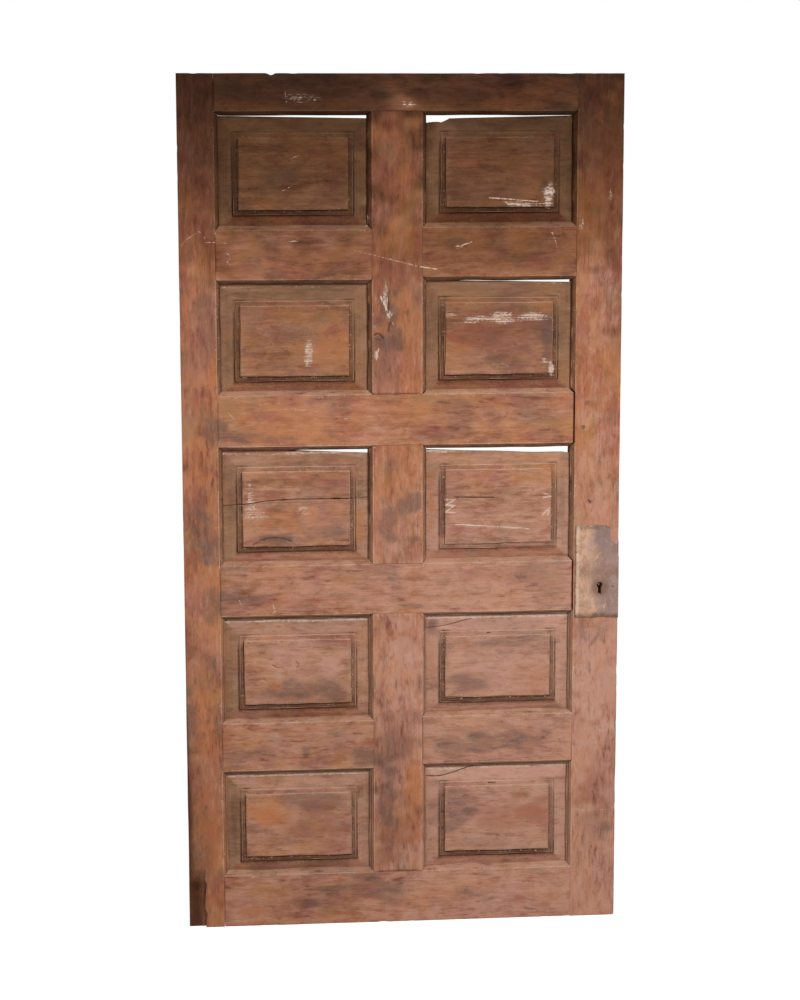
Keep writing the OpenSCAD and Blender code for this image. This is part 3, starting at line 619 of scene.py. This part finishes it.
def worn_piece(node, seed, step, arris, sunk):
    """A worn copy of a wooden CAD node; sunk is true for a panel in its grooves."""
    body = merged_copy(node)
    ease_arrises(body, arris, sunk)
    cut_grid(body, step)
    refine_scratches(body)
    mesh = smooth_mesh(body, node + "_worn")
    dent(mesh, seed, sunk)
    paint(mesh, seed, sunk)
    mesh.set_sharp_from_angle(angle=SHARP_ANGLE)
    return in_scene(node + "_worn", mesh)


def worn_plate():
    """The thin lock plate, buckled between its nails and ragged along its edges."""
    body = merged_copy("lock_plate")
    cut_grid(body, 4 * MM)
    mesh = smooth_mesh(body, "lock_plate_worn")
    co = vertex_array(mesh, "co") / MM
    low, high = co.min(axis=0), co.max(axis=0)
    x, z = co[:, 0].copy(), co[:, 2].copy()
    nailed = np.min([np.hypot(x - nx, z - nz) for nx, nz in NAILS], axis=0)
    face = co[:, 1] < FRONT_Y + 0.1
    loose = ramp(nailed, 4, 18) * ramp(x, 514, 494)
    buckle = 0.45 * (1 + ripple(co, (45, 1000, 45), 3)) * loose
    co[:, 1] -= np.clip(buckle, 0, 0.9) * face
    ragged = np.clip(0.8 * (1 + ripple(co, (9, 1000, 9), 4)), 0, 2)
    co[:, 0] += ragged * (x - low[0] < 0.3)
    co[:, 2] -= ragged * (high[2] - z < 0.3)
    mesh.vertices.foreach_set("co", (co * MM).ravel())
    mesh.set_sharp_from_angle(angle=SHARP_ANGLE)
    return in_scene("lock_plate_worn", mesh)


def linear(code):
    """An sRGB hex colour as linear RGBA."""
    values = [int(code[i:i + 2], 16) / 255 for i in (1, 3, 5)]
    return [v / 12.92 if v <= 0.04045 else ((v + 0.055) / 1.055) ** 2.4 for v in values] + [1]


def add(tree, kind, sockets=(), out=0, **settings):
    """Adds a shader node; its sockets take values or other nodes' outputs. Gives one of its outputs."""
    node = tree.nodes.new("ShaderNode" + kind)
    for name, value in settings.items():
        setattr(node, name, value)
    for key, value in sockets.items() if isinstance(sockets, dict) else enumerate(sockets):
        if isinstance(value, bpy.types.NodeSocket):
            tree.links.new(value, node.inputs[key])
        else:
            node.inputs[key].default_value = value
    return node.outputs[out] if len(node.outputs) else node


def new_material(name):
    """An empty material and its nodes."""
    material = bpy.data.materials.new(name)
    material.use_nodes = True
    material.node_tree.nodes.clear()
    return material, material.node_tree


def sized_noise(tree, place, sizes, detail, roughness, out="Fac"):
    """Noise whose features have the given sizes in mm along X, Y and Z."""
    scaled = add(tree, "Mapping", {"Vector": place, "Scale": [1 / (s * MM) for s in sizes]})
    sockets = {"Vector": scaled, "Scale": 1, "Detail": detail, "Roughness": roughness, "Distortion": 0.4}
    return add(tree, "TexNoise", sockets, out)


def swayed(tree, start, parts):
    """A start value plus each noise's swing about 0.5 times its weight."""
    for value, weight in parts:
        swing = add(tree, "Math", (value, 0.5), operation="SUBTRACT")
        start = add(tree, "Math", (swing, weight, start), operation="MULTIPLY_ADD")
    return start


def stepped(tree, value, low, high, top=1, parts=()):
    """A smooth step from 0 to a top between two values, of a value that noises sway."""
    swung = swayed(tree, value, parts)
    return add(tree, "MapRange", (swung, low, high, 0, top), interpolation_type="SMOOTHSTEP")


def near(tree, value, place, reach, top):
    """A soft line where a value passes a place."""
    away = add(tree, "Math", (value, place), operation="SUBTRACT")
    away = add(tree, "Math", (away,), operation="ABSOLUTE")
    return stepped(tree, away, reach, 0.1 * reach, top)


def layered(tree, colour, layers):
    """A colour under layers: a factor, a tint as hex colour or output, and a blend if it isn't a mix."""
    for factor, tint, *blend in layers:
        tint = linear(tint) if isinstance(tint, str) else tint
        sockets = {MIX_FACTOR: factor, MIX_UNDER: colour, MIX_OVER: tint}
        mode = blend[0] if blend else "MIX"
        colour = add(tree, "Mix", sockets, MIX_OUT, data_type="RGBA", blend_type=mode)
    return colour


def set_surface(tree, colour, relief, strength, depth, sockets):
    """Ends a material in a shader with a colour, a relief of a depth in mm and the sockets' values."""
    bump = add(tree, "Bump", {"Height": relief, "Strength": strength, "Distance": depth * MM})
    shader = add(tree, "BsdfPrincipled", {"Base Color": colour, "Normal": bump} | sockets)
    add(tree, "OutputMaterial", {"Surface": shader})


def painted_masks(tree):
    """All the masks that a worn piece holds."""
    found = {}
    for name, channels in MASKS.items():
        stored = add(tree, "Attribute", attribute_name=name).node.outputs
        split = add(tree, "SeparateColor", [stored["Color"]]).node.outputs
        found.update(zip(channels, (split[0], split[1], split[2], stored["Alpha"])))
    return SimpleNamespace(**found)


def wood_noises(tree, place, grain):
    """Noises of the wood, sized in mm across and along its grain.

    Real fibres, pores and specks of dirt are a few tenths of a mm wide. They are drawn about ten
    times as wide here, because finer ones don't show.
    """
    def grained(across, along, detail, roughness, out="Fac"):
        sizes = [along if axis == grain else across for axis in "XYZ"]
        return sized_noise(tree, place, sizes, detail, roughness, out)

    return SimpleNamespace(
        fibre=grained(2.5, 70, 4, 0.65),
        band=grained(14, 240, 5, 0.62),
        mottle=grained(20, 48, 6, 0.68),
        pore=grained(2.2, 15, 2, 0.5),
        speck=grained(4, 6, 4, 0.7),
        fleck=grained(4.5, 16, 3, 0.6),
        scuff=grained(8, 36, 4, 0.6),
        broad=add(tree, "SeparateColor", [grained(110, 170, 3, 0.5, "Color")]).node.outputs,
        patch=add(tree, "SeparateColor", [grained(60, 100, 5, 0.6, "Color")]).node.outputs,
    )


def grain_colour(tree, place, noise, wear, hues):
    """Hues from dark to light along the fibres, with dark pores and planing streaks along the bevels."""
    across, _, up = add(tree, "SeparateXYZ", [place]).node.outputs
    slow = [add(tree, "Math", (value, 0.03), operation="MULTIPLY") for value in (across, up)]
    from_field = add(tree, "Math", (wear.edge, MM), operation="MULTIPLY")
    planed = sized_noise(tree, add(tree, "CombineXYZ", [from_field] + slow), [7, 7, 7], 3, 0.6)
    streaks = add(tree, "Math", (swayed(tree, 0, [(planed, 1.1)]), wear.bevel), operation="MULTIPLY")
    tone = swayed(tree, 0.5, [(noise.fibre, 0.8), (noise.band, 0.8), (noise.mottle, 1.0)])
    tone = add(tree, "Math", (tone, streaks), operation="ADD")
    tone = add(tree, "Math", (stepped(tree, noise.pore, 0.6, 0.7), -0.22, tone), operation="MULTIPLY_ADD")
    scale = add(tree, "ValToRGB", [tone]).node
    elements = scale.color_ramp.elements
    elements[0].color, elements[1].color = linear(hues[0]), linear(hues[-1])
    for i, hue in enumerate(hues[1:-1], 1):
        elements.new(i / (len(hues) - 1)).color = linear(hue)
    return scale.outputs[0]


def patched(tree, colour, noise, wear, scuffed):
    """The wood under patches of other hues, its listed wear, and scuffs as strong as scuffed says."""
    mottle, fibre, broad, patch = noise.mottle, noise.fibre, noise.broad, noise.patch
    smudged = [(mottle, 2.2), (fibre, 1.2), (noise.speck, 0.8)]
    rough = stepped(tree, swayed(tree, broad[1], [(patch[0], 0.8)]), 0.38, 0.6)
    dark_scuff = stepped(tree, noise.scuff, 0.5, 0.26, 2 * scuffed)
    return layered(tree, colour, [
        (stepped(tree, broad[0], 0.48, 0.6, 0.35), "#ba8371"),
        (stepped(tree, broad[1], 0.49, 0.6, 0.45), "#744f44"),
        (stepped(tree, broad[2], 0.5, 0.62, 0.5), "#b4784c"),
        (stepped(tree, patch[0], 0.5, 0.64, 0.65), "#96584c"),
        (stepped(tree, patch[1], 0.5, 0.64, 0.45), "#b27a52"),
        (stepped(tree, patch[2], 0.52, 0.64, 0.3), "#7a6a4e"),
        # Pale bleached wood, with dust and painted light where faces look up and on the bevels
        (stepped(tree, wear.bleached, 0.15, 1, 0.85, [(mottle, 1.2), (fibre, 0.5)]), "#c19481"),
        (stepped(tree, wear.amber, 0.2, 1, 0.85, [(mottle, 1.4), (fibre, 0.6)]), "#b5724a"),
        (stepped(tree, wear.red, 0.1, 1, 0.65, [(mottle, 1.3)]), "#94503a"),
        (stepped(tree, wear.violet, 0.15, 1, 0.75, [(mottle, 1.1)]), "#7c5a52"),
        (add(tree, "Math", (wear.olive, 0.5), operation="MULTIPLY"), "#866b51"),
        (stepped(tree, wear.stain, 0.15, 1, 0.7, smudged), "#685047"),
        (stepped(tree, noise.scuff, 0.52, 0.74, 0.45 * scuffed), "#d0b29c"),
        (add(tree, "Math", (dark_scuff, rough), operation="MULTIPLY"), "#6b4233"),
    ])


def moulding_dirt_and_shade(tree, noise, wear, seams):
    """Factor of dirt in gouges, and of dirt and painted shade under mouldings and in the lines that the
    seams give.
    """
    dirt_and_shade = stepped(tree, wear.grime, 0.05, 0.95, 0.9, [(noise.speck, 1.0), (noise.mottle, 0.8)])
    for line, reach, strength in seams:
        seam = near(tree, wear.edge, line, reach, strength)
        seam = add(tree, "Math", (seam, wear.share), operation="MULTIPLY")
        seam = stepped(tree, seam, 0.02, 1, 1, [(noise.mottle, 0.9), (noise.speck, 0.5)])
        dirt_and_shade = add(tree, "Math", (dirt_and_shade, seam), operation="MAXIMUM")
    return dirt_and_shade


def rubbed_and_lit_arrises(tree, noise, wear, arrises):
    """Factor of the light wood where arrises are rubbed and take a painted highlight, and of crumbs of it
    beside the moulded edge.
    """
    crumbs = stepped(tree, noise.speck, 0.58, 0.67)
    rubbed = add(tree, "Math", (crumbs, near(tree, wear.edge, 0, 14, 0.8)), operation="MULTIPLY")
    for line in arrises:
        worn = near(tree, wear.edge, line, 2.2, 1)
        worn = stepped(tree, worn, 0.3, 1.3, 0.5, [(noise.mottle, 1.8), (noise.speck, 0.9)])
        rubbed = add(tree, "Math", (rubbed, worn), operation="MAXIMUM")
    return rubbed


def aged_wood(name, grain, hues, seams, arrises, scuffed):
    """Old stained wood: hues from dark to light along the fibres, then patches, wear, dirt and dust, with
    painted shade and highlights.

    Seams are the places, reaches and strengths of dirty lines with painted shade along the moulded edges,
    and arrises the places of rubbed light ones with painted highlights.
    """
    material, tree = new_material(name)
    place = add(tree, "TexCoord", out="Object")
    noise, wear = wood_noises(tree, place, grain), painted_masks(tree)
    colour = grain_colour(tree, place, noise, wear, hues)
    colour = patched(tree, colour, noise, wear, scuffed)
    # Plaster dust and marks, with painted highlights under the heads and on the panels' upper edges
    dust_and_highlight = stepped(tree, wear.plaster, 0.4, 0.95, 0.85, [(noise.speck, 1.8), (noise.fibre, 1.9)])
    dust_and_highlight = add(tree, "Math", (dust_and_highlight, stepped(tree, wear.plaster, 0.1, 0.35)), operation="MULTIPLY")
    colour = layered(tree, colour, [
        (stepped(tree, noise.fleck, 0.63, 0.71, 0.4), "#5a3220"),
        # Dark brown dirt with painted shade in the gouges, the mouldings and the seam lines
        (moulding_dirt_and_shade(tree, noise, wear, seams), "#40200f"),
        (rubbed_and_lit_arrises(tree, noise, wear, arrises), "#c9aa90"),
        # Darker by soot and painted shade from the shade mask, and warmer where it is darker
        (1, swayed(tree, wear.shade, [(noise.mottle, 0.25)]), "MULTIPLY"),
        (stepped(tree, wear.shade, 1, 0), "#f2e2ca", "MULTIPLY"),
        (dust_and_highlight, "#cfb9a8"),
    ])
    relief = swayed(tree, noise.fibre, [(noise.mottle, 0.6)])
    set_surface(tree, colour, relief, 0.35, 0.8, {"Roughness": 0.65, "Specular IOR Level": 0.05})
    return material


def blotched(name, colour, blotch, metallic):
    """A dull old surface with blotches of a second colour, about 12 mm wide."""
    material, tree = new_material(name)
    place = add(tree, "TexCoord", out="Object")
    patch = sized_noise(tree, place, [12, 12, 12], 5, 0.65)
    tint = layered(tree, linear(colour), [(stepped(tree, patch, 0.42, 0.62), blotch)])
    sockets = {"Metallic": metallic, "Roughness": 0.65, "Specular IOR Level": 0.2}
    set_surface(tree, tint, patch, 0.3, 0.4, sockets)
    return material


def plate_zones(tree, place, cloud, flake):
    """Zones of the plate, by their places on it, with rims that the noises sway."""
    across, _, up = add(tree, "SeparateXYZ", [place]).node.outputs
    left, foot, top = (value * MM for value in PLATE_EDGES)
    bare = stepped(tree, across, left + 31 * MM, left + 76 * MM, 1, [(cloud, 0.16)])
    upper = stepped(tree, up, top - 100 * MM, top - 20 * MM, 0.6)
    right = stepped(tree, across, left + 78 * MM, left + 94 * MM)
    high = stepped(tree, up, top - 50 * MM, top - 25 * MM)
    left_rim, top_rim = near(tree, across, left, 7 * MM, 0.7), near(tree, up, top, 12 * MM, 0.4)
    return SimpleNamespace(
        bare=bare,
        upper=add(tree, "Math", (bare, upper), operation="MULTIPLY"),
        corner=add(tree, "Math", (right, high), operation="MULTIPLY"),
        rim=add(tree, "Math", (left_rim, top_rim), operation="MAXIMUM"),
        crease_highlight=near(tree, across, left + 7 * MM, 10 * MM, 1),
        band=near(tree, swayed(tree, up, [(cloud, 0.08)]), top - 108 * MM, 30 * MM, 0.6),
        foot=stepped(tree, up, foot + 24 * MM, foot + 8 * MM, 1, [(flake, 0.03)]),
        hole=add(tree, "VectorMath", (place, KEYHOLE), "Value", operation="DISTANCE"),
    )


def painted_sheet(name):
    """Thin iron with worn tan paint on the left, bare and greyer to the lock edge, with rusty blotches.

    Real flakes of paint and specks of rust are finer. They are drawn 5 to 22 mm wide, so that they show.
    """
    material, tree = new_material(name)
    place = add(tree, "TexCoord", out="Object")
    cloud = sized_noise(tree, place, [34, 34, 46], 6, 0.65)
    flake = sized_noise(tree, place, [16, 16, 22], 6, 0.7)
    fine = sized_noise(tree, place, [5, 5, 5], 5, 0.7)
    zone = plate_zones(tree, place, cloud, flake)
    colour = layered(tree, linear("#c0967b"), [
        (stepped(tree, cloud, 0.46, 0.62, 0.6), "#cda78d"),
        (zone.bare, "#977b72"),
        (zone.upper, "#7c645f"),
        (zone.band, "#8a6654"),
        (stepped(tree, flake, 0.5, 0.64, 0.4), "#846553"),
        (stepped(tree, flake, 0.42, 0.32, 0.4), "#c8ab9b"),
        (near(tree, cloud, 0.47, 0.06, 0.3), "#6b5143"),
        (stepped(tree, fine, 0.58, 0.7, 0.35), "#5d4538"),
        (stepped(tree, fine, 0.36, 0.26, 0.4), "#d8bfae"),
        (stepped(tree, zone.hole, 30 * MM, 12 * MM, 0.75, [(flake, 0.02)]), "#6b4a3b"),
        (stepped(tree, zone.rim, 0.1, 0.7, 0.8, [(fine, 1.0)]), "#5a4334"),
        # A painted highlight in pale specks along a crease near the plate's left edge
        (stepped(tree, zone.crease_highlight, 0.6, 1.2, 0.5, [(flake, 3)]), "#dcc0a8"),
        (zone.foot, "#6a4d3b"),
        (stepped(tree, zone.corner, 0.3, 0.8, 0.85, [(flake, 0.8)]), "#b07a64"),
    ])
    dents = swayed(tree, cloud, [(flake, 0.5), (fine, 0.2)])
    sockets = {"Metallic": 0.1, "Roughness": 0.55, "Specular IOR Level": 0.3}
    set_surface(tree, colour, dents, 0.7, 2.5, sockets)
    return material


def dress(node, material):
    """Gives a CAD node its material."""
    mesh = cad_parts[node].data
    mesh.materials.clear()
    mesh.materials.append(material)


def keep(piece, material, node):
    """Puts a piece in its node's place on the leaf."""
    piece.data.materials.append(material)
    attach(piece, "leaf")
    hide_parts(node)


def seen_ray(tree):
    """1 for a ray that shows the background, straight or in gloss or glass, and 0 for one that lights."""
    path = add(tree, "LightPath").node.outputs
    seen = add(tree, "Math", (path["Is Camera Ray"], path["Is Glossy Ray"]), operation="MAXIMUM")
    return add(tree, "Math", (seen, path["Is Transmission Ray"]), operation="MAXIMUM")


def area_light(name, place, aim, size, power):
    """Soft square light at a place, turned to a point."""
    light = bpy.data.lights.new(name, "AREA")
    light.size = size
    light.energy = power
    lamp = in_scene(name, light)
    lamp.location = place
    lamp.rotation_euler = (Vector(aim) - Vector(place)).to_track_quat("-Z", "Y").to_euler()


# Old hardwood, planed by hand, stained and worn: long dark fibres, a dull face and patches of many browns
stile_wood = aged_wood("old stained wood, upright grain", "Z", STILE_HUES, MEMBER_SEAMS, MEMBER_ARRISES, 0.4)
# The same wood laid level, a little lighter: its fibres run across the leaf
rail_wood = aged_wood("old stained wood, level grain", "X", RAIL_HUES, MEMBER_SEAMS, MEMBER_ARRISES, 0.4)
# Panel boards of it, planed to bevels: browner, with streaks along the mouldings and fewer scuffs
panel_wood = aged_wood("old stained panel wood", "X", PANEL_HUES, PANEL_SEAMS, PANEL_ARRISES, 0.25)
# Hardwood pegs, cut off flush: their end grain is a dull, blotched brown with no fibres along it
peg_wood = blotched("peg end grain", "#8f6047", "#78503b", 0)
# Forged iron, long without oil: dark grey going brown, with a weak gloss
old_iron = blotched("dull old iron", "#4d463f", "#5a3f2c", 0.5)
# The pin's end, rubbed by keys and dusty: a pale dot in the dark of the keyhole
pin_iron = blotched("rubbed pin iron", "#d8c0a6", "#c4a98c", 0)
# Hammered nail heads: tan like the paint round them, with dark rust
nail_iron = blotched("rusty nail iron", "#8d7565", "#4f3b2f", 0.2)
# Rolled sheet iron under worn oil paint: tan, mauve grey where it is bare, with soft dents and rust
sheet_iron = painted_sheet("worn painted sheet iron")

seed = 10
for names, material, slot, step, arris, sunk in (
    (UPRIGHTS, stile_wood, "stile_wood", 6 * MM, 1.0 * MM, False),
    (RAILS, rail_wood, "rail_wood", 6 * MM, 1.0 * MM, False),
    (PANELS, panel_wood, "panel_wood", 5 * MM, 1.6 * MM, True),
):
    for node in names:
        seed += 10
        keep(worn_piece(node, seed, step, arris, sunk), material, node)
keep(worn_plate(), sheet_iron, "lock_plate")

dress("tenon_pegs", peg_wood)
dress("key_pin", pin_iron)
dress("plate_nails", nail_iron)
for node in ("lock_case", "lock_cover", "cover_screw", "forend_screws", "lock_bolt", "bolt_spring"):
    dress(node, old_iron)

# Matt studio paper: near white to the camera, and it keeps the leaf's shadow
floor_pale, tree = new_material("pale studio floor")
glow = add(tree, "Math", (seen_ray(tree), 0.9), operation="MULTIPLY")
glow = add(tree, "Emission", (linear("#ffffff"), glow))
pale = add(tree, "BsdfDiffuse", {"Color": linear("#a0a0a0")})
add(tree, "OutputMaterial", {"Surface": add(tree, "AddShader", (glow, pale))})
square = bmesh.new()
bmesh.ops.create_grid(square, x_segments=1, y_segments=1, size=40)
floor_mesh = bpy.data.meshes.new("floor")
square.to_mesh(floor_mesh)
square.free()
floor_mesh.materials.append(floor_pale)
floor = in_scene("floor", floor_mesh)

# World: white behind the leaf, soft light on it
world = bpy.data.worlds.new("studio")
bpy.context.scene.world = world
world.use_nodes = True
tree = world.node_tree
tree.nodes.clear()
strength = add(tree, "MapRange", (seen_ray(tree), 0, 1, 0.3, 1))
add(tree, "OutputWorld", {"Surface": add(tree, "Background", (linear("#ffffff"), strength))})

area_light("key", (1.4, -4.0, 3.8), (0, 0, 0.9), 1.8, 210)
area_light("fill", (-1.5, -4.6, 1.0), (0, 0, 0.9), 2.5, 40)

# Camera fitted to the leaf's four corners in the photograph
camera_data = bpy.data.cameras.new("camera")
camera_data.lens = 83.33
camera = in_scene("camera", camera_data)
camera.location = (-0.4871, -5.4231, 1.9211)
camera.rotation_euler = [math.radians(a) for a in (80.805, 0.098, -5.1)]
bpy.context.scene.camera = camera
bpy.context.scene.view_settings.view_transform = "Standard"
